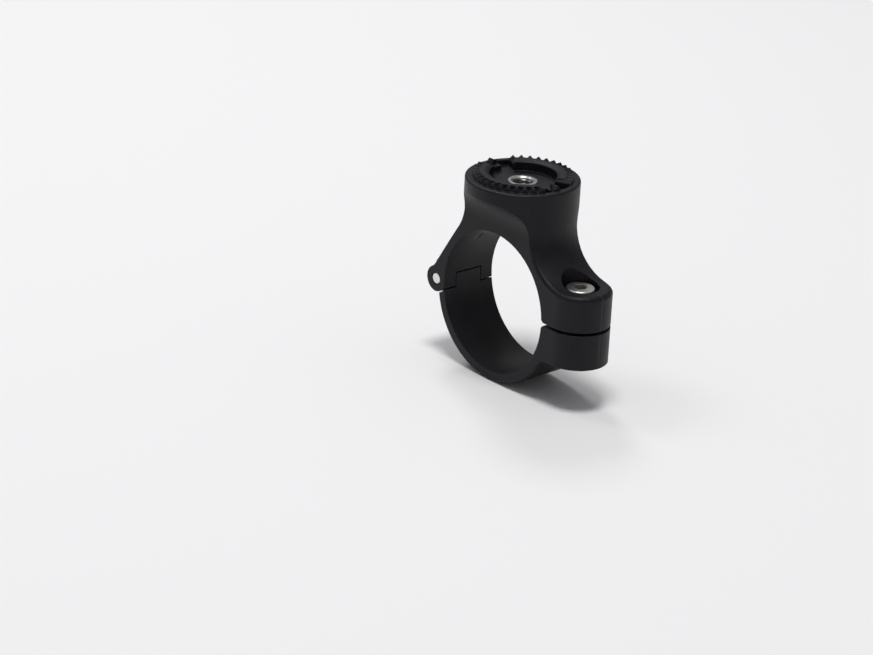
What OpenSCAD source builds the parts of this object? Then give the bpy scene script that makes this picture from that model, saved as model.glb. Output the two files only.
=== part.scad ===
// Hinged handlebar clamp that carries a toothed round face for a phone mount.
// The origin is the centre of the bar bore. The bar runs along Y, the face
// looks up along Z, the clamp screw is on the +X side and the hinge on the -X side.

/* [Handlebar clamp] */
// Diameter of the handlebar that the clamp closes on
bar_d = 35; // [31.8:0.1:36]
// Width of the clamp along the bar
clamp_w = 15.4; // [14:0.1:18]
// Wall of the lower ring
ring_wall = 2.5; // [2:0.1:3.5]
// Gap between the two ears when the clamp is closed on its bar
split_gap = 0.8; // [0.4:0.1:1.4]
// Chamfer along both ends of the bore
bore_edge = 0.3; // [0.1:0.05:0.5]
// Chamfer along the outer edges of the lower ring
ring_edge = 0.45; // [0.2:0.05:0.7]
// Lead-in chamfer where the split meets the bore
split_edge = 0.55; // [0.2:0.05:0.8]

/* [Mount face] */
// Diameter of the round face
face_d = 27.6; // [26:0.1:30]
// Height of the face above the crown of the bore
face_rise = 12.9; // [12:0.1:15]
// Thickness of the face where the side coves run out under it
face_wall = 3.1; // [2.5:0.1:4]
// Radius of the coves under the face
cove_r = 8; // [7:0.1:9]
// Rounding of the rim of the face
rim_round = 0.5; // [0.2:0.05:0.8]
// Radius of the flare that runs down to the screw ear
flare_r = 11.5; // [10:0.1:12.5]
// Radius of the bend at the top of the flank on the hinge side
flank_r = 12; // [10:0.5:14]
// Lean of the straight flank on the hinge side, in degrees
flank_lean = 30.5; // [28:0.5:33]
// Radius of the hollow between the flank and the hinge barrel
flank_blend_r = 4; // [3:0.1:5]

/* [Toothed crown] */
// Height of the crown above the rim of the face
crown_rise = 1.2; // [1.1:0.05:1.4]
// Outer diameter of the ring of teeth
tooth_out_d = 24.2; // [23.4:0.1:24.8]
// Inner diameter of the ring of teeth
tooth_in_d = 20.7; // [19.6:0.1:21.4]
// Number of teeth in a full turn
tooth_count = 36; // [36:4:48]
// Depth of the gaps between the teeth
tooth_depth = 1.05; // [0.8:0.05:1.05]
// Width of the flat land on the tip of a tooth, at its outer end
tooth_land = 0.2; // [0.16:0.02:0.3]
// Diameter of the pocket inside the crown
pocket_d = 16.3; // [15.4:0.1:17]
// Depth of the pocket below the rim of the face
pocket_depth = 1.4; // [1:0.05:1.8]
// Width of the chamfer between the crown and the pocket
crown_chamfer = 0.9; // [0.4:0.05:1.1]
// Teeth left out on the near side of each key slot
slot_near_teeth = 1; // [1:1:2]
// Teeth left out on the far side of each key slot
slot_far_teeth = 2; // [1:1:3]
// Width of the tongue in the middle of each key slot
tongue_w = 2.1; // [1.6:0.1:2.6]
// Radius at which the tongue starts
tongue_start = 8.9; // [8.8:0.1:10]

/* [Screw ears] */
// Distance of the screw axis beyond the wall of the bore
screw_offset = 4.5; // [4.4:0.1:6]
// Height of the upper ear
upper_ear_h = 8.8; // [8:0.1:10]
// Height of the lower ear
lower_ear_h = 8.7; // [8:0.1:10]
// Rounding of the top edge of the upper ear
ear_round = 1.2; // [0.8:0.1:1.5]
// Radius of the hollow between the lower ear and the ring
ear_blend_r = 3; // [2:0.1:4]
// Diameter of the screw well in the upper ear
well_d = 9.2; // [9:0.1:9.4]
// Thickness of the floor under the screw well
well_floor = 4.2; // [3.6:0.1:4.8]

/* [Hinge] */
// Diameter of the hinge pin
pin_d = 3; // [2.5:0.1:3.4]
// Distance of the pin axis beyond the wall of the bore
pin_offset = 3.1; // [2.9:0.1:3.4]
// Height of the pin axis below the centre of the bore
pin_drop = 0.6; // [0:0.1:1]
// Wall of the hinge barrel around the pin
barrel_wall = 1.75; // [1.5:0.05:2]
// Length of the middle knuckle
knuckle_w = 7.6; // [6:0.1:9]
// Length by which the pin stops short of each side
pin_short = 0.1; // [0:0.05:0.5]
// Chamfer on both ends of the pin
pin_edge = 0.25; // [0.1:0.05:0.4]
// Depth of the outer knuckles below the centre of the bore
outer_drop = 2.3; // [1.8:0.1:2.8]
// Height of the middle knuckle above the centre of the bore
middle_rise = 1; // [0.5:0.1:1.5]
// Running gap between the hinge knuckles
hinge_gap = 0.3; // [0.2:0.05:0.4]
// Running gap between the middle knuckle and the pin, across the diameter
pin_gap = 0.12; // [0.06:0.02:0.18]

/* [Screw and washer] */
// Core diameter of the screw under its thread
screw_core_d = 3.2; // [2.8:0.1:3.3]
// Length of the screw under its head
screw_len = 10; // [9:0.5:11]
// Diameter of the screw head
head_d = 7; // [6.5:0.1:7.4]
// Height of the screw head
head_h = 4; // [3.5:0.1:4.5]
// Rounding of the edge of the screw head
head_round = 0.45; // [0.2:0.05:0.6]
// Size of the hexagon socket across its flats
socket_af = 3; // [2.5:0.1:3.5]
// Depth of the hexagon socket
socket_depth = 2.2; // [1.5:0.1:2.6]
// Outer diameter of the washer
washer_d = 8; // [7.6:0.1:8.4]
// Thickness of the washer
washer_h = 0.5; // [0.3:0.1:0.8]
// Gap between the washer and the screw, across the diameter
washer_gap = 1.1; // [0.8:0.1:1.4]
// Diameter of the screw holes through both ears
screw_hole_d = 4.6; // [4.4:0.1:5]

/* [Threaded inserts] */
// Outer diameter of the insert in the mount face
mount_insert_d = 7.2; // [6.6:0.1:8]
// Bore of the insert in the mount face
mount_insert_bore = 4.2; // [4:0.1:4.3]
// Length of the insert in the mount face
mount_insert_len = 8; // [6:0.1:8.4]
// Height of that insert above the floor of the pocket
mount_insert_proud = 0.5; // [0.2:0.05:0.7]
// Chamfer at the mouth of that insert
mount_insert_chamfer = 0.7; // [0.4:0.05:0.9]
// Free depth of the blind hole below that insert
blind_depth = 1; // [0.5:0.1:1.2]
// Diameter of the blind hole below that insert
blind_d = 4.6; // [4.4:0.1:5]
// Outer diameter of the insert in the lower ear
jaw_insert_d = 6; // [5.6:0.1:6.6]
// Bore of the insert in the lower ear
jaw_insert_bore = 4.2; // [4.1:0.1:4.5]
// Length of the insert in the lower ear
jaw_insert_len = 5.6; // [5:0.1:6]
// Depth of that insert below the split
jaw_insert_sunk = 0.2; // [0.1:0.1:0.5]

/* [Hidden] */
$fn = 96;

// Length by which a cut runs past the surface that it opens
over = 1;
// Extra radius of a blending cut, so that it crosses the faces it runs into
overcut = 0.03;
bar_r = bar_d / 2;
half_w = clamp_w / 2;
ring_r = bar_r + ring_wall;
reach = 2 * bar_r;

// Levels of the face and its crown
face_r = face_d / 2;
face_z = bar_r + face_rise;
crown_z = face_z + crown_rise;
pocket_z = face_z - pocket_depth;
gap_z = crown_z - tooth_depth;
tooth_in_r = tooth_in_d / 2;
tooth_out_r = tooth_out_d / 2;
pocket_r = pocket_d / 2;
tooth_step = 360 / tooth_count;

// Cove under the face: its centre is level with the top of the flat sides
cove_y = half_w + cove_r;
cove_side = max(0, cove_y - face_r);
cove_z = face_z - face_wall - sqrt(pow(cove_r, 2) - pow(cove_side, 2));

// Screw ears: the flare is a hollow torus around the axis of the face
screw_x = bar_r + screw_offset;
ear_top = split_gap + upper_ear_h;
flare_x = face_r + flare_r;
flare_z = ear_top + flare_r;
well_z = split_gap + well_floor;
head_z = well_z + washer_h;

// Hinge
pin_x = -bar_r - pin_offset;
pin_z = -pin_drop;
pin_r = pin_d / 2;
barrel_r = pin_r + barrel_wall;
clear_r = barrel_r + hinge_gap;

// Flank on the hinge side: a bend under the face, then a straight cone
flank_z = face_z - face_wall - flank_r * sin(flank_lean);
bend_end = [face_r + flank_r * (1 - cos(flank_lean)), flank_z - flank_r * sin(flank_lean)];
flank_low = pin_z + 0.7 * barrel_r;

// Radius of the cone at a height
function flank_radius(z) = bend_end[0] + (bend_end[1] - z) * tan(flank_lean);

// Edge of the flank on the flat sides of the clamp
function flank_edge(z) = [-sqrt(pow(flank_radius(z), 2) - pow(half_w, 2)), z];

// A cylinder along Y, centred on the XZ plane
module along_y(r, h) {
    rotate([90, 0, 0])
        cylinder(r = r, h = h, center = true);
}

// An outline in the XZ plane, drawn as X and Y, given a width along Y
module slab_y(width) {
    rotate([90, 0, 0])
        linear_extrude(width, center = true)
            children();
}

// The bar bore with its end chamfers
module bar_bore() {
    along_y(bar_r, clamp_w + 2 * over);
    for (side = [-1, 1])
        translate([0, side * half_w, 0])
            rotate([-90 * side, 0, 0])
                cylinder(r1 = bar_r + bore_edge, r2 = bar_r, h = bore_edge);
}

// Radial outline of the column, with the rounded rim and the crown on top
module column_outline(low) {
    translate([0, low])
        square([face_r - rim_round, face_z - low]);
    translate([0, low])
        square([face_r, face_z - rim_round - low]);
    translate([face_r - rim_round, face_z - rim_round])
        circle(r = rim_round);
    square([tooth_out_r, crown_z]);
}

// Radial outline towards the screw: the column flares out into the ear
module screw_side_outline() {
    column_outline(split_gap);
    difference() {
        translate([0, split_gap])
            square([flare_x, flare_z - split_gap]);
        translate([flare_x, flare_z])
            circle(r = flare_r);
    }
    translate([0, split_gap])
        square([reach, upper_ear_h]);
}

// Radial outline towards the hinge: a bend and a straight flank
module hinge_side_outline() {
    column_outline(flank_low);
    difference() {
        polygon([[0, flank_low], [0, flank_z], [face_r, flank_z], bend_end,
                 [flank_radius(flank_low), flank_low]]);
        translate([face_r + flank_r, flank_z])
            circle(r = flank_r);
    }
}

// Outline of the clamp seen along X: flat sides that cove out under the face
module side_outline() {
    difference() {
        translate([-reach, -ring_r])
            square([2 * reach, ring_r + crown_z + over]);
        for (side = [0, 1])
            mirror([side, 0]) {
                translate([half_w, -ring_r - over])
                    square([reach, ring_r + over + cove_z]);
                translate([cove_y, cove_z])
                    circle(r = cove_r);
                translate([cove_y, cove_z])
                    square([reach, cove_r]);
            }
    }
}

// Outline of both ears seen from above
module ear_plan() {
    translate([-reach, -reach])
        square([reach + screw_x, 2 * reach]);
    translate([screw_x, 0])
        circle(r = half_w);
}

// The two revolved halves of the upper clamp, trimmed to its sides and ear
module upper_blank() {
    intersection() {
        union() {
            intersection() {
                rotate_extrude()
                    screw_side_outline();
                translate([0, -reach, 0])
                    cube([reach, 2 * reach, crown_z]);
            }
            intersection() {
                rotate_extrude()
                    hinge_side_outline();
                translate([-reach, -reach, 0])
                    cube([reach, 2 * reach, crown_z]);
            }
        }
        rotate([90, 0, 90])
            linear_extrude(2 * reach, center = true)
                side_outline();
        linear_extrude(2 * crown_z)
            ear_plan();
    }
}

// Hollow blend between the flank and the hinge barrel, in the XZ plane
blend_from = flank_edge(bar_r / 2);
blend_to = flank_edge(bar_r / 4);
blend_dir = (blend_to - blend_from) / norm(blend_to - blend_from);
blend_out = [blend_dir[1], -blend_dir[0]];
pin_rel = [pin_x, pin_z] - blend_from;
pin_side = pin_rel * blend_out;
blend_along = pin_rel * blend_dir
    - sqrt(pow(barrel_r + flank_blend_r, 2) - pow(flank_blend_r - pin_side, 2));
blend_centre = blend_from + blend_out * flank_blend_r + blend_dir * blend_along;

module hinge_blend_outline() {
    difference() {
        polygon([[pin_x, pin_z], blend_centre, blend_centre - blend_out * flank_blend_r,
                 blend_from, [-bar_r, pin_z]]);
        translate(blend_centre)
            circle(r = flank_blend_r + overcut);
    }
}

// Barrel and web of the outer knuckles, before the middle knuckle is cleared
module outer_knuckles() {
    slab_y(clamp_w) {
        hinge_blend_outline();
        translate([pin_x, -outer_drop])
            square([pin_offset + over, outer_drop + bar_r / 4]);
    }
    translate([pin_x, 0, pin_z])
        along_y(barrel_r, clamp_w);
}

// Space in the upper clamp for the middle knuckle of the jaw
module middle_knuckle_space() {
    width = knuckle_w + 2 * hinge_gap;
    translate([pin_x, 0, pin_z])
        along_y(clear_r, width);
    translate([-reach, -width / 2, -reach])
        cube([reach - bar_r / 2, width, reach + middle_rise + hinge_gap]);
}

// Rolling-ball rounding of the top edge of the upper ear. Each ring of the
// cutter is a corner cut by an arc; the rings follow the edge down one side of
// the flare, around the ear and up the other side.
round_steps = 9;
turn_steps = 14;
arc_steps = 5;
flare_first = 10;
fade_deg = 34;
cutter_out = 0.5;

// Turn of the flare, in degrees, at which the straight edge reaches the ear
ear_edge_y = half_w - ear_round;
flare_last = acos((flare_x - norm([screw_x, ear_edge_y])) / (flare_r + ear_round));

// Rounding radius at a turn of the flare: it fades out up the column
function edge_radius(turn) = ear_round * min(1, max(0.15, turn / fade_deg));

// Ball centre and the outward side direction at a place on the edge
function side_ball(turn, side) =
    let (r = edge_radius(turn),
         far = flare_x - (flare_r + r) * cos(turn),
         y = half_w - r)
    [[sqrt(pow(far, 2) - pow(y, 2)), side * y, flare_z - (flare_r + r) * sin(turn)],
     [0, side, 0], r];

function end_ball(turn) =
    let (x = screw_x + ear_edge_y * cos(turn),
         y = ear_edge_y * sin(turn),
         far = min(flare_x, norm([x, y])))
    [[x, y, flare_z - sqrt(pow(flare_r + ear_round, 2) - pow(flare_x - far, 2))],
     [cos(turn), sin(turn), 0], ear_round];

// Upward direction of the flare or the ear top at a ball
function top_direction(ball) =
    let (c = ball[0],
         far = norm([c[0], c[1]]),
         lean = acos(min(1, max(0, (flare_x - far) / (flare_r + ball[2])))))
    [cos(lean) * c[0] / far, cos(lean) * c[1] / far, sin(lean)];

// One ring of the cutter around a ball
function cutter_ring(ball) =
    let (c = ball[0],
         r = ball[2],
         s = ball[1],
         t = top_direction(ball),
         wide = acos(s * t),
         corner = (s + t) / (1 + s * t))
    concat([c + s * (r + cutter_out), c + corner * (r + cutter_out), c + t * (r + cutter_out)],
           [for (i = [0 : arc_steps])
               c + (r + overcut) / sin(wide)
                   * (t * sin(wide * (1 - i / arc_steps)) + s * sin(wide * i / arc_steps))]);

edge_balls = concat(
    [for (i = [0 : round_steps - 1])
        side_ball(flare_first + (flare_last - flare_first) * i / round_steps, -1)],
    [for (i = [0 : turn_steps]) end_ball(-90 + 180 * i / turn_steps)],
    [for (i = [round_steps - 1 : -1 : 0])
        side_ball(flare_first + (flare_last - flare_first) * i / round_steps, 1)]);

module ear_round_cutter() {
    rings = [for (ball = edge_balls) cutter_ring(ball)];
    n = len(rings[0]);
    last = (len(rings) - 1) * n;
    polyhedron(
        points = [for (ring = rings) each ring],
        faces = concat(
            [for (i = [2 : n - 1]) [1, (i + 1) % n, i]],
            [for (k = [0 : len(rings) - 2], i = [0 : n - 1])
                [k * n + i, k * n + (i + 1) % n, (k + 1) * n + (i + 1) % n]],
            [for (k = [0 : len(rings) - 2], i = [0 : n - 1])
                [k * n + i, (k + 1) * n + (i + 1) % n, (k + 1) * n + i]],
            [for (i = [2 : n - 1]) [last + 1, last + i, last + (i + 1) % n]]));
}

// A radial V gap between two teeth, from one radius to another
module tooth_gap(from, to) {
    rise = tooth_depth * 1.4;
    spread = (tan(tooth_step / 2) - tooth_land / tooth_out_d) * 1.4;
    ends = [from, to];
    polyhedron(
        points = [for (r = ends) each [[r, 0, gap_z], [r, r * spread, gap_z + rise],
                                       [r, -r * spread, gap_z + rise]]],
        faces = [[0, 1, 2], [5, 4, 3], [0, 3, 4], [0, 4, 1], [1, 4, 5], [1, 5, 2],
                 [2, 5, 3], [2, 3, 0]]);
}

// Ring sector of a key slot, from the pocket to the outer end of the teeth
near_turn = (slot_near_teeth + 0.5) * tooth_step;
far_turn = (slot_far_teeth + 0.5) * tooth_step;

// Turn by which a key slot runs past the bottom of its last gap, in degrees
slot_past = 0.6;

module slot_sector(inner, near, far) {
    intersection() {
        difference() {
            circle(r = tooth_out_r);
            circle(r = inner);
        }
        polygon([[0, 0], 2 * face_r * [cos(near), -sin(near)], [2 * face_r, 0],
                 2 * face_r * [cos(far), sin(far)]]);
    }
}

// One key slot: the teeth are left out down to the rim, and two channels run
// down to the floor of the pocket beside a tongue that keeps one tooth
module key_slot() {
    translate([0, 0, face_z])
        linear_extrude(crown_rise + over)
            difference() {
                slot_sector(pocket_r - over, near_turn + slot_past, far_turn + slot_past);
                slot_sector(tooth_in_r, tooth_step / 2 - slot_past, tooth_step / 2 - slot_past);
            }
    translate([0, 0, pocket_z])
        linear_extrude(crown_z - pocket_z + over)
            difference() {
                slot_sector(pocket_r - over, near_turn + slot_past, far_turn + slot_past);
                translate([tongue_start, -tongue_w / 2])
                    square([face_r, tongue_w]);
            }
    for (turn = [-near_turn, far_turn])
        rotate([0, 0, turn])
            tooth_gap(pocket_r - over, tooth_out_r + over);
}

// Everything that is cut into the mount face
module face_cuts() {
    translate([0, 0, pocket_z])
        cylinder(r = pocket_r, h = crown_z);
    translate([0, 0, crown_z - crown_chamfer / 2])
        cylinder(r1 = pocket_r, r2 = pocket_r + 2 * crown_chamfer, h = crown_chamfer);
    for (i = [0 : tooth_count - 1])
        rotate([0, 0, (i + 0.5) * tooth_step])
            tooth_gap(tooth_in_r, tooth_out_r + over);
    key_slot();
    mirror([1, 0, 0])
        key_slot();
    insert_seat = pocket_z + mount_insert_proud - mount_insert_len;
    translate([0, 0, insert_seat])
        cylinder(d = mount_insert_d, h = mount_insert_len);
    translate([0, 0, insert_seat - blind_depth])
        cylinder(d = blind_d, h = blind_depth + over);
}

// A lead-in chamfer at the bore end of the split, at a height
module split_lead(z) {
    translate([bar_r, 0, z])
        rotate([0, 45, 0])
            cube([split_edge * sqrt(2), clamp_w + 2 * over, split_edge * sqrt(2)], center = true);
}

module upper_clamp() {
    color([0.13, 0.13, 0.14])
        difference() {
            union() {
                upper_blank();
                outer_knuckles();
            }
            bar_bore();
            middle_knuckle_space();
            face_cuts();
            ear_round_cutter();
            split_lead(split_gap);
            translate([pin_x, 0, pin_z])
                along_y(pin_r, clamp_w + 2 * over);
            translate([screw_x, 0, well_z])
                cylinder(d = well_d, h = flare_z);
            translate([screw_x, 0, 0])
                cylinder(d = screw_hole_d, h = flare_z);
        }
}

// Section of the lower ring, with chamfered outer edges, as radius and width
module ring_section() {
    polygon([[bar_r - over, -half_w], [ring_r - ring_edge, -half_w],
             [ring_r, -half_w + ring_edge], [ring_r, half_w - ring_edge],
             [ring_r - ring_edge, half_w], [bar_r - over, half_w]]);
}

// Where the hollow blend under the lower ear is centred and meets the ring
ear_blend = [sqrt(pow(ring_r + ear_blend_r, 2) - pow(lower_ear_h + ear_blend_r, 2)),
             -lower_ear_h - ear_blend_r];

module lower_ear_outline() {
    translate([0, -lower_ear_h])
        square([reach, lower_ear_h]);
    difference() {
        polygon([[0, 0], ear_blend * ring_r / norm(ear_blend), ear_blend,
                 [ear_blend[0], -lower_ear_h]]);
        translate(ear_blend)
            circle(r = ear_blend_r + overcut);
    }
}

module lower_jaw() {
    color([0.12, 0.12, 0.13])
        difference() {
            union() {
                intersection() {
                    rotate([90, 0, 0])
                        rotate_extrude()
                            ring_section();
                    union() {
                        translate([-reach, -reach, -2 * reach])
                            cube([2 * reach, 2 * reach, 2 * reach - outer_drop - hinge_gap]);
                        translate([0, -reach, -reach])
                            cube([reach, 2 * reach, reach]);
                        translate([-reach, -knuckle_w / 2, -reach])
                            cube([reach, knuckle_w, reach + middle_rise]);
                    }
                }
                intersection() {
                    slab_y(clamp_w)
                        lower_ear_outline();
                    translate([0, 0, -reach])
                        linear_extrude(reach)
                            ear_plan();
                }
                translate([pin_x, 0, pin_z])
                    along_y(barrel_r, knuckle_w);
            }
            bar_bore();
            for (side = [-1, 1])
                translate([pin_x, side * (knuckle_w / 2 + reach / 2), pin_z])
                    along_y(clear_r, reach);
            translate([pin_x, 0, pin_z])
                along_y(pin_r + pin_gap / 2, clamp_w);
            split_lead(0);
            translate([screw_x, 0, -jaw_insert_sunk - jaw_insert_len])
                cylinder(d = jaw_insert_d, h = reach);
            translate([screw_x, 0, -reach])
                cylinder(d = screw_hole_d, h = reach);
        }
}

module hinge_pin() {
    half = half_w - pin_short;
    color([0.78, 0.78, 0.8])
        translate([pin_x, 0, pin_z])
            rotate([90, 0, 0])
                rotate_extrude()
                    polygon([[0, -half], [pin_r - pin_edge, -half], [pin_r, -half + pin_edge],
                             [pin_r, half - pin_edge], [pin_r - pin_edge, half], [0, half]]);
}

module clamp_screw() {
    color([0.72, 0.71, 0.7])
        translate([screw_x, 0, head_z])
            difference() {
                rotate_extrude() {
                    square([head_d / 2 - head_round, head_h]);
                    square([head_d / 2, head_h - head_round]);
                    translate([head_d / 2 - head_round, head_h - head_round])
                        circle(r = head_round);
                    translate([0, -screw_len])
                        square([screw_core_d / 2, screw_len + over]);
                }
                translate([0, 0, head_h - socket_depth])
                    cylinder(d = socket_af / cos(30), h = socket_depth + over, $fn = 6);
            }
}

module screw_washer() {
    color([0.7, 0.7, 0.7])
        translate([screw_x, 0, well_z])
            difference() {
                cylinder(d = washer_d, h = washer_h);
                translate([0, 0, -over])
                    cylinder(d = screw_core_d + washer_gap, h = washer_h + 2 * over);
            }
}

module mount_insert() {
    top = pocket_z + mount_insert_proud;
    color([0.8, 0.79, 0.76])
        difference() {
            translate([0, 0, top - mount_insert_len])
                cylinder(d = mount_insert_d, h = mount_insert_len);
            translate([0, 0, top - mount_insert_len - over])
                cylinder(d = mount_insert_bore, h = mount_insert_len + 2 * over);
            translate([0, 0, top - mount_insert_chamfer])
                cylinder(d1 = mount_insert_bore, h = 2 * mount_insert_chamfer,
                         d2 = mount_insert_bore + 4 * mount_insert_chamfer);
        }
}

module jaw_insert() {
    color([0.74, 0.6, 0.36])
        translate([screw_x, 0, -jaw_insert_sunk - jaw_insert_len])
            difference() {
                cylinder(d = jaw_insert_d, h = jaw_insert_len);
                translate([0, 0, -over])
                    cylinder(d = jaw_insert_bore, h = jaw_insert_len + 2 * over);
            }
}

upper_clamp();
lower_jaw();
hinge_pin();
clamp_screw();
screw_washer();
mount_insert();
jaw_insert();
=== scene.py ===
import math

import bpy
import numpy as np
from mathutils import Matrix, Vector


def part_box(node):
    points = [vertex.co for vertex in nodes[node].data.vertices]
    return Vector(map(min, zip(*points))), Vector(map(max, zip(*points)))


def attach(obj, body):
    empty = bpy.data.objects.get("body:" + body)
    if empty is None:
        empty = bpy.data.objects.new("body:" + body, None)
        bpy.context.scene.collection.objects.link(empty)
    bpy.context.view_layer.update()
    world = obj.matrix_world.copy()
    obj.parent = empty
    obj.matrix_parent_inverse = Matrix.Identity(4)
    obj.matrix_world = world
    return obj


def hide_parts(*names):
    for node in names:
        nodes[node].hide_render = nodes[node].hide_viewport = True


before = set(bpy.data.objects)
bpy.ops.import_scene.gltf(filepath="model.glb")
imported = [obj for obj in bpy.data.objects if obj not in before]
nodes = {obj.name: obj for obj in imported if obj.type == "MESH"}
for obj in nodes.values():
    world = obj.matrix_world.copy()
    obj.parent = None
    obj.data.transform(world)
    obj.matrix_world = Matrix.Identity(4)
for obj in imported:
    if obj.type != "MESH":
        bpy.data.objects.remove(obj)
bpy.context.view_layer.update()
scene = bpy.context.scene

# Camera: a long lens at the photograph's angle, above the clamp and to the right
# of its flat side. The camera is turned a few degrees about its line of sight,
# as the photograph is.
azimuth, elevation, tilt = (math.radians(a) for a in (48.502, 22.142, -2.899))
camera_place = (0.51908, -0.48412, 0.27943)
back = Vector((math.sin(azimuth) * math.cos(elevation),
               -math.cos(azimuth) * math.cos(elevation), math.sin(elevation)))
level = Vector((math.cos(azimuth), math.sin(azimuth), 0))
upright = back.cross(level)
right = level * math.cos(tilt) - upright * math.sin(tilt)
up = level * math.sin(tilt) + upright * math.cos(tilt)
lens = bpy.data.cameras.new("camera")
lens.sensor_width = 36
lens.lens = 130.77
lens.clip_start, lens.clip_end = 0.01, 20
camera = bpy.data.objects.new("camera", lens)
scene.collection.objects.link(camera)
camera.matrix_world = Matrix.Translation(camera_place) @ Matrix(
    (right, up, back)).transposed().to_4x4()
scene.camera = camera

# Floor: one pale matt sheet that the ring stands on, a tenth of a millimetre
# under it, and wide enough to fill the picture from any side.
floor_reach, floor_height = 6.0, -0.0201
floor_mesh = bpy.data.meshes.new("floor")
floor_mesh.from_pydata(
    [(-floor_reach, -floor_reach, floor_height), (floor_reach, -floor_reach, floor_height),
     (floor_reach, floor_reach, floor_height), (-floor_reach, floor_reach, floor_height)],
    [], [(0, 1, 2, 3)])
floor = bpy.data.objects.new("floor", floor_mesh)
scene.collection.objects.link(floor)
floor_paint = bpy.data.materials.new("floor_paint")
floor_paint.use_nodes = True
shader = floor_paint.node_tree.nodes["Principled BSDF"]
shader.inputs["Base Color"].default_value = (0.86, 0.86, 0.865, 1)
shader.inputs["Roughness"].default_value = 0.9
shader.inputs["Specular IOR Level"].default_value = 0.1
floor_mesh.materials.append(floor_paint)

# Light: a plain pale world, darker at the horizon as in a room with a lit ceiling,
# and three soft lamps. The key lamp hangs almost overhead and puts the shadow under
# the clamp; the crown's slope mirrors the rear lamp towards the camera.
world = bpy.data.worlds.new("studio")
world.use_nodes = True
sky = world.node_tree
look = sky.nodes.new("ShaderNodeTexCoord").outputs["Generated"]
split_look = sky.nodes.new("ShaderNodeSeparateXYZ")
sky.links.new(look, split_look.inputs[0])
fade = sky.nodes.new("ShaderNodeValToRGB")
horizon, ceiling = fade.color_ramp.elements
horizon.position, horizon.color = 0.0, (0.09, 0.09, 0.095, 1)
ceiling.position, ceiling.color = 0.85, (0.60, 0.60, 0.61, 1)
wall = fade.color_ramp.elements.new(0.36)
wall.color = (0.50, 0.50, 0.52, 1)
sky.links.new(split_look.outputs["Z"], fade.inputs["Fac"])
sky.links.new(fade.outputs["Color"], sky.nodes["Background"].inputs["Color"])
sky.nodes["Background"].inputs["Strength"].default_value = 0.58
scene.world = world
for name, place, size, power in (
        ("key", (0.22, -0.27, 1.68), 0.52, 15.4),
        ("side", (-0.52, -0.24, 0.80), 0.26, 0.9),
        ("rear", (-0.61, 0.31, 0.78), 0.26, 2.1)):
    lamp = bpy.data.lights.new(name, "AREA")
    lamp.shape, lamp.size, lamp.energy = "DISK", size, power
    light = bpy.data.objects.new(name, lamp)
    scene.collection.objects.link(light)
    light.location = place
    light.rotation_euler = (-Vector(place)).to_track_quat("-Z", "Y").to_euler()
scene.view_settings.view_transform = "Standard"


# Upper clamp and lower jaw: glass-filled black nylon, moulded in a sparked steel
# tool, which leaves a fine even grain. Handling polishes the corners, so that
# they catch the light. The corners and the tool's line on the ears are also
# painted lighter, a painted highlight.
def node_group(name, inputs, outputs):
    """A shader group with these input and output sockets: name, type and value."""
    group = bpy.data.node_groups.new(name, "ShaderNodeTree")
    for label, kind, value in inputs:
        socket = group.interface.new_socket(label, in_out="INPUT", socket_type=kind)
        if value is not None:
            socket.default_value = value
    for label, kind in outputs:
        group.interface.new_socket(label, in_out="OUTPUT", socket_type=kind)
    return group, group.nodes.new("NodeGroupInput"), group.nodes.new("NodeGroupOutput")


def place_group(tree, group, vector=None, **values):
    """A node group placed in a material, read at a vector, with its own values."""
    node = tree.nodes.new("ShaderNodeGroup")
    node.node_tree = group
    if vector is not None:
        tree.links.new(vector, node.inputs["Vector"])
    for label, value in values.items():
        node.inputs[label].default_value = value
    return node


def math_node(tree, operation, a, b=None):
    """One Math node whose inputs are sockets or numbers; gives its output."""
    node = tree.nodes.new("ShaderNodeMath")
    node.operation = operation
    for i, value in enumerate((a, b)):
        if isinstance(value, bpy.types.NodeSocket):
            tree.links.new(value, node.inputs[i])
        elif value is not None:
            node.inputs[i].default_value = value
    return node.outputs[0]


def noise_node(tree, vector, scale, detail=2.0, rough=0.5):
    """A Noise Texture read at a vector; gives its value."""
    node = tree.nodes.new("ShaderNodeTexNoise")
    node.inputs["Detail"].default_value = detail
    node.inputs["Roughness"].default_value = rough
    tree.links.new(vector, node.inputs["Vector"])
    if isinstance(scale, bpy.types.NodeSocket):
        tree.links.new(scale, node.inputs["Scale"])
    else:
        node.inputs["Scale"].default_value = scale
    return node.outputs["Fac"]


def mix_colour(tree, share, first, second):
    """First, a socket, turning into second, a plain colour, by share; gives the colour."""
    node = tree.nodes.new("ShaderNodeMix")
    node.data_type = "RGBA"
    node.inputs["B"].default_value = second
    tree.links.new(share, node.inputs["Factor"])
    tree.links.new(first, node.inputs["A"])
    return node.outputs["Result"]


def shade(base, share):
    """A base colour made darker or lighter by a share, with full alpha."""
    return tuple(min(1.0, share * c) for c in base) + (1,)


# Moulded grain: two sizes of noise, fine pits over a slow cloud
grain, grain_in, grain_out = node_group(
    "moulded_grain",
    (("Vector", "NodeSocketVector", None), ("Pit Scale", "NodeSocketFloat", 3600.0),
     ("Cloud Scale", "NodeSocketFloat", 260.0)),
    (("Height", "NodeSocketFloat"), ("Cloud", "NodeSocketFloat")))
pits = noise_node(grain, grain_in.outputs["Vector"], grain_in.outputs["Pit Scale"], 3.0, 0.6)
cloud = noise_node(grain, grain_in.outputs["Vector"], grain_in.outputs["Cloud Scale"])
grain.links.new(pits, grain_out.inputs["Height"])
grain.links.new(cloud, grain_out.inputs["Cloud"])
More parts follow.
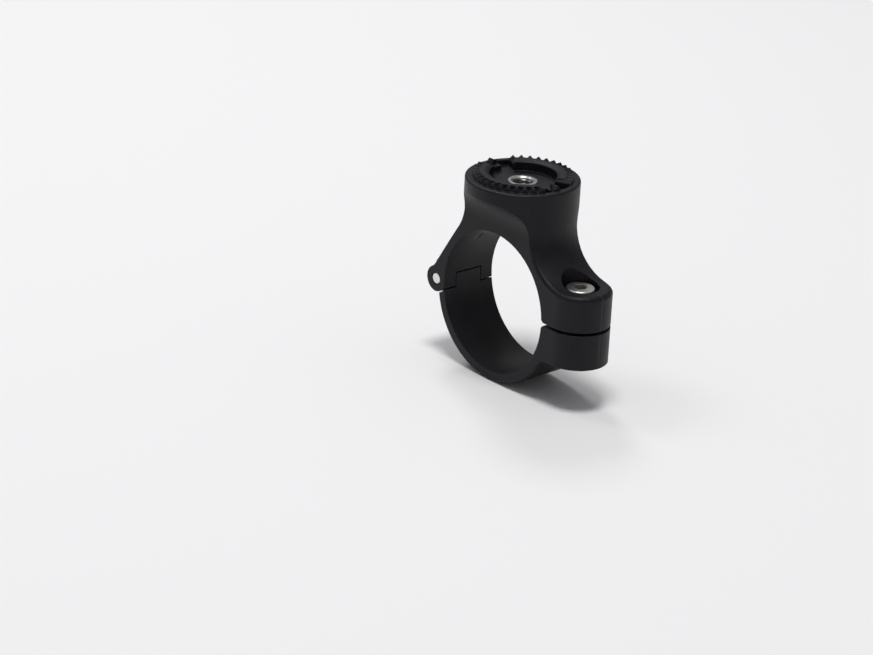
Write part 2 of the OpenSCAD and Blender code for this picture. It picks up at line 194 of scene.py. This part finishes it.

# Softened edges: the normal softened over a small radius, and a mask of how far it
# leans from the real one, which shows where a corner is; the nylon paints a
# highlight along it
edge_softening, softening_in, softening_out = node_group(
    "softened_edges",
    (("Radius", "NodeSocketFloat", 0.0003), ("Gain", "NodeSocketFloat", 1.4)),
    (("Normal", "NodeSocketVector"), ("Mask", "NodeSocketFloat")))
soft = edge_softening.nodes.new("ShaderNodeBevel")
soft.samples = 6
edge_softening.links.new(softening_in.outputs["Radius"], soft.inputs["Radius"])
edge_softening.links.new(soft.outputs[0], softening_out.inputs["Normal"])
real = edge_softening.nodes.new("ShaderNodeNewGeometry")
alike = edge_softening.nodes.new("ShaderNodeVectorMath")
alike.operation = "DOT_PRODUCT"
edge_softening.links.new(soft.outputs[0], alike.inputs[0])
edge_softening.links.new(real.outputs["Normal"], alike.inputs[1])
lean = math_node(edge_softening, "SUBTRACT", 1.0, alike.outputs["Value"])
edge_softening.links.new(math_node(edge_softening, "MULTIPLY", lean, softening_in.outputs["Gain"]), softening_out.inputs["Mask"])

# Mould line: a mask of the thin flash on the ears' ends, on the plane where the
# two halves of the tool meet
flash, flash_in, flash_out = node_group(
    "mould_line",
    (("Vector", "NodeSocketVector", None), ("Half Width", "NodeSocketFloat", 0.0001),
     ("From X", "NodeSocketFloat", 0.0275)),
    (("Mask", "NodeSocketFloat"),))
flash_place = flash.nodes.new("ShaderNodeSeparateXYZ")
flash.links.new(flash_in.outputs["Vector"], flash_place.inputs[0])
near_plane = math_node(flash, "LESS_THAN", math_node(flash, "ABSOLUTE", flash_place.outputs["Y"]),
                       flash_in.outputs["Half Width"])
on_end = math_node(flash, "GREATER_THAN", flash_place.outputs["X"], flash_in.outputs["From X"])
flash.links.new(math_node(flash, "MULTIPLY", near_plane, on_end), flash_out.inputs["Mask"])


def nylon(name, base, marks=()):
    """Black nylon: grain in the bump and the roughness, corners softened, a
    shallow dish at each ejector mark, given as place and radius in metres, and
    the line on the ear's end where the two halves of the tool meet. The corners
    and that line are painted lighter, a painted highlight."""
    dark, light, highlight_lift = 0.82, 1.22, 9.0  # shares of the base: the cloud's ends, a corner's painted highlight
    highlight_most, line_share = 0.6, 0.5  # how far corners and the tool's line turn to the painted highlight
    rough_low, rough_span, polish = 0.38, 0.16, 0.08
    dish_depth, line_height = 8.4, 1.2  # as multiples of the bump's distance
    paint = bpy.data.materials.new(name)
    paint.use_nodes = True
    tree = paint.node_tree
    bsdf = tree.nodes["Principled BSDF"]
    bsdf.inputs["Specular IOR Level"].default_value = 0.21
    place = tree.nodes.new("ShaderNodeTexCoord").outputs["Object"]
    pattern = place_group(tree, grain, place)
    edges = place_group(tree, edge_softening)
    corner = edges.outputs["Mask"]
    seam = place_group(tree, flash, place).outputs["Mask"]

    tone = tree.nodes.new("ShaderNodeValToRGB")
    low_tone, high_tone = tone.color_ramp.elements
    low_tone.position, low_tone.color = 0.35, shade(base, dark)
    high_tone.position, high_tone.color = 0.65, shade(base, light)
    tree.links.new(pattern.outputs["Cloud"], tone.inputs["Fac"])
    # Painted highlight: the colour is lightened at the corners and along the tool's line.
    painted_highlight = math_node(tree, "MAXIMUM", math_node(tree, "MINIMUM", corner, highlight_most),
                     math_node(tree, "MULTIPLY", seam, line_share))
    tree.links.new(mix_colour(tree, painted_highlight, tone.outputs["Color"], shade(base, highlight_lift)),
                   bsdf.inputs["Base Color"])

    clouded = math_node(tree, "MULTIPLY", pattern.outputs["Cloud"], rough_span)
    rough = math_node(tree, "ADD", clouded, rough_low)
    tree.links.new(math_node(tree, "SUBTRACT", rough, math_node(tree, "MULTIPLY", corner, polish)),
                   bsdf.inputs["Roughness"])

    height = pattern.outputs["Height"]
    for spot, radius in marks:
        away = tree.nodes.new("ShaderNodeVectorMath")
        away.operation = "DISTANCE"
        away.inputs[1].default_value = spot
        tree.links.new(place, away.inputs[0])
        dish = math_node(tree, "SUBTRACT", 1.0,
                         math_node(tree, "DIVIDE", away.outputs["Value"], radius))
        height = math_node(tree, "SUBTRACT", height, math_node(
            tree, "MULTIPLY", math_node(tree, "MAXIMUM", dish, 0.0), dish_depth))
    height = math_node(tree, "ADD", height, math_node(tree, "MULTIPLY", seam, line_height))
    bump = tree.nodes.new("ShaderNodeBump")
    bump.inputs["Strength"].default_value = 0.8
    bump.inputs["Distance"].default_value = 0.00005
    tree.links.new(height, bump.inputs["Height"])
    tree.links.new(edges.outputs["Normal"], bump.inputs["Normal"])
    tree.links.new(bump.outputs["Normal"], bsdf.inputs["Normal"])
    return paint


def dress(node, paint):
    """A CAD node keeps its shape and takes a better material in every slot."""
    mesh = nodes[node].data
    for i in range(max(1, len(mesh.materials))):
        if i < len(mesh.materials):
            mesh.materials[i] = paint
        else:
            mesh.materials.append(paint)


ejector_mark = ((-0.0132, -0.001, 0.0114), 0.0014)  # inside the bore, above the hinge
dress("upper_clamp", nylon("upper_nylon", (0.0074, 0.0061, 0.0084), [ejector_mark]))
dress("lower_jaw", nylon("jaw_nylon", (0.0071, 0.0058, 0.0081)))

# Insert in the face: a turned stainless bush with an M5 thread, pressed hot into
# the nylon so that its rim stands a little proud of the pocket's floor. Its
# mouth is countersunk, and the thread runs out into that chamfer.
turned, turned_in, turned_out = node_group(
    "turned_rings",
    (("Vector", "NodeSocketVector", None), ("Ring Scale", "NodeSocketFloat", 9000.0),
     ("Smear Scale", "NodeSocketFloat", 900.0)),
    (("Height", "NodeSocketFloat"), ("Smear", "NodeSocketFloat"), ("Radius", "NodeSocketFloat")))
split_vector = turned.nodes.new("ShaderNodeSeparateXYZ")
turned.links.new(turned_in.outputs["Vector"], split_vector.inputs[0])
far = math_node(turned, "SQRT", math_node(
    turned, "ADD",
    math_node(turned, "MULTIPLY", split_vector.outputs["X"], split_vector.outputs["X"]),
    math_node(turned, "MULTIPLY", split_vector.outputs["Y"], split_vector.outputs["Y"])))
ring_place = turned.nodes.new("ShaderNodeCombineXYZ")
turned.links.new(far, ring_place.inputs["X"])
turned.links.new(split_vector.outputs["Z"], ring_place.inputs["Y"])
tool_marks = noise_node(turned, ring_place.outputs[0], turned_in.outputs["Ring Scale"], 2.0, 0.6)
smear = noise_node(turned, turned_in.outputs["Vector"], turned_in.outputs["Smear Scale"])
turned.links.new(tool_marks, turned_out.inputs["Height"])
turned.links.new(smear, turned_out.inputs["Smear"])
turned.links.new(far, turned_out.inputs["Radius"])


def turned_metal(name, base, rough_low, rough_span, centre, turn=(0, 0, 0), hole=0.0):
    """Turned metal: rings about a centre in the bump, and a roughness that rises
    from its low by its span where the part has been handled. Inside the hole's
    radius the colour is darker, painted shade in a thread or a socket."""
    dark, light, hole_shade = 0.88, 1.06, 0.16  # shares of the base: the smear's ends, the painted shade in a hole
    paint = bpy.data.materials.new(name)
    paint.use_nodes = True
    tree = paint.node_tree
    bsdf = tree.nodes["Principled BSDF"]
    bsdf.inputs["Metallic"].default_value = 1
    centred = tree.nodes.new("ShaderNodeMapping")
    centred.vector_type = "TEXTURE"
    centred.inputs["Location"].default_value = centre
    centred.inputs["Rotation"].default_value = turn
    tree.links.new(tree.nodes.new("ShaderNodeTexCoord").outputs["Object"], centred.inputs["Vector"])
    rings = place_group(tree, turned, centred.outputs[0])

    tone = tree.nodes.new("ShaderNodeValToRGB")
    low_tone, high_tone = tone.color_ramp.elements
    low_tone.color, high_tone.color = shade(base, dark), shade(base, light)
    tree.links.new(rings.outputs["Smear"], tone.inputs["Fac"])
    # Painted shade: inside the hole's radius the colour is darkened, for the shade in the thread or
    # socket.
    inside = math_node(tree, "LESS_THAN", rings.outputs["Radius"], hole)
    tree.links.new(mix_colour(tree, inside, tone.outputs["Color"], shade(base, hole_shade)),
                   bsdf.inputs["Base Color"])
    smeared = math_node(tree, "MULTIPLY", rings.outputs["Smear"], rough_span)
    tree.links.new(math_node(tree, "ADD", smeared, rough_low), bsdf.inputs["Roughness"])

    edges = place_group(tree, edge_softening, Radius=0.0001)
    bump = tree.nodes.new("ShaderNodeBump")
    bump.inputs["Strength"].default_value = 0.35
    bump.inputs["Distance"].default_value = 0.000008
    tree.links.new(rings.outputs["Height"], bump.inputs["Height"])
    tree.links.new(edges.outputs["Normal"], bump.inputs["Normal"])
    tree.links.new(bump.outputs["Normal"], bsdf.inputs["Normal"])
    return paint


def ring_piece(name, profile, centre, paint, sharp=35.0, around=96):
    """A closed piece swept round Z. profile(turn) gives radius and height as two
    arrays of rows by columns for the column of turns; the rows form a closed
    outline, so that the surface wraps both ways and has no open edge."""
    turn = np.linspace(0, 2 * np.pi, around, endpoint=False)[None, :]
    radius, height = profile(turn)
    rows, cols = radius.shape
    points = np.stack((centre[0] + radius * np.cos(turn), centre[1] + radius * np.sin(turn),
                       centre[2] + height), -1).reshape(-1, 3)
    i, j = np.meshgrid(np.arange(rows), np.arange(cols), indexing="ij")
    i2, j2 = (i + 1) % rows, (j + 1) % cols
    corners = (i * cols + j, i * cols + j2, i2 * cols + j2, i2 * cols + j)
    faces = np.stack(corners, -1).reshape(-1, 4)
    mesh = bpy.data.meshes.new(name)
    mesh.from_pydata(points.tolist(), [], faces.tolist())
    mesh.polygons.foreach_set("use_smooth", np.ones(len(faces), bool))
    mesh.set_sharp_from_angle(angle=math.radians(sharp))
    mesh.materials.append(paint)
    piece = bpy.data.objects.new(name, mesh)
    scene.collection.objects.link(piece)
    return piece


rows_per_pitch = 10  # rows of points in one pitch of a thread


def thread_groove(turn, height, pitch):
    """Depth share of a V thread, 0 on its crest and 1 in its groove: a triangle
    wave of the height over the pitch less the turn, with its ends cut flat."""
    steep, crest_flat = 1.3, 0.15
    phase = (height / pitch - turn / (2 * np.pi)) % 1
    return np.clip(np.abs(phase * 2 - 1) * steep - crest_flat, 0, 1)


def threaded_bush(outer, bore, groove, pitch, chamfer, length, rim_break=0.00012):
    """Outline of a threaded bush from its lower end at height 0: up the outside,
    over the rim with its broken corner, into the chamfer and down the thread,
    whose groove is cut until it meets the chamfer."""
    def profile(turn):
        down = np.linspace(length, 0, int(length / pitch * rows_per_pitch))[:, None]
        mouth = np.maximum(bore, bore + chamfer - (length - down))
        thread = bore + groove * thread_groove(turn, down, pitch)
        inside = np.maximum(mouth, thread)
        rim = np.array([[outer, 0.0], [outer, length - rim_break], [outer - rim_break, length]])
        ones = np.ones_like(turn)
        radius = np.vstack((rim[:, :1] * ones, inside * ones))
        height = np.vstack((rim[:, 1:] * ones, down * ones))
        return radius, height
    return profile


insert_low, insert_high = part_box("mount_insert")
insert_bore, insert_groove, insert_pitch, insert_mouth = 0.0021, 0.0004, 0.0008, 0.0007
insert = ring_piece(
    "threaded_insert",
    threaded_bush(insert_high.x, insert_bore, insert_groove, insert_pitch, insert_mouth,
                  insert_high.z - insert_low.z),
    (0, 0, insert_low.z),
    turned_metal("bright_steel", (0.52, 0.51, 0.50), rough_low=0.24, rough_span=0.16,
                 centre=(0, 0, 0), hole=0.00245))
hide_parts("mount_insert")
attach(insert, "clamp")

# Insert in the jaw: a brass bush under the split, which the clamp screw pulls
# on. It is seen only when the jaw is open.
brass_low, brass_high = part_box("jaw_insert")
brass_axis = (brass_low.x + brass_high.x) / 2
bush_bore, bush_groove, bush_mouth = 0.0021, 0.0002, 0.0003
screw_pitch = 0.0007
jaw_bush = ring_piece(
    "jaw_bush",
    threaded_bush((brass_high.x - brass_low.x) / 2, bush_bore, bush_groove, screw_pitch, bush_mouth,
                  brass_high.z - brass_low.z),
    (brass_axis, 0, brass_low.z),
    turned_metal("turned_brass", (0.72, 0.53, 0.25), rough_low=0.24, rough_span=0.14,
                 centre=(brass_axis, 0, 0)))
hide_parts("jaw_insert")
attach(jaw_bush, "jaw")

# Clamp screw: a stainless cap screw with a hexagon socket, on a small washer. The
# head keeps its solid shape; its rolled thread is a sleeve on the plain core.
screw_steel = turned_metal("screw_steel", (0.80, 0.775, 0.75), rough_low=0.22, rough_span=0.16,
                           centre=(0.022, 0, 0), hole=0.00149)
dress("clamp_screw", screw_steel)
dress("screw_washer", screw_steel)
screw_low, screw_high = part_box("clamp_screw")
thread_core, thread_crest, thread_length, thread_end = 0.00162, 0.00195, 0.0094, 0.0002


def rolled_thread(core, crest, pitch, length):
    """Outline of a threaded sleeve from its tip at height 0: up the thread, whose
    crests lean in at the tip, and down inside the core."""
    tip_step, tip_slope, wall = 0.00003, 0.6, 0.7

    def profile(turn):
        rise = np.linspace(0, length, int(length / pitch * rows_per_pitch))[:, None]
        lead = np.minimum(crest, core + tip_step + rise * tip_slope)
        thread = crest - (crest - core) * thread_groove(turn, rise, pitch)
        inside = np.array([[core * wall, length], [core * wall, 0.0]])
        ones = np.ones_like(turn)
        radius = np.vstack((np.minimum(lead, thread) * ones, inside[:, :1] * ones))
        height = np.vstack((rise * ones, inside[:, 1:] * ones))
        return radius, height
    return profile


thread = ring_piece(
    "screw_thread", rolled_thread(thread_core, thread_crest, screw_pitch, thread_length),
    ((screw_low.x + screw_high.x) / 2, 0, screw_low.z + thread_end), screw_steel)
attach(thread, "screw")

# Hinge pin: a plain ground steel pin, pressed through the outer knuckles. Only
# its chamfered ends are seen, and its rings run round its own axis.
pin_steel = turned_metal("pin_steel", (0.80, 0.785, 0.765), rough_low=0.26, rough_span=0.18,
                         centre=(-0.0206, 0, -0.0006), turn=(math.radians(90), 0, 0))
dress("hinge_pin", pin_steel)
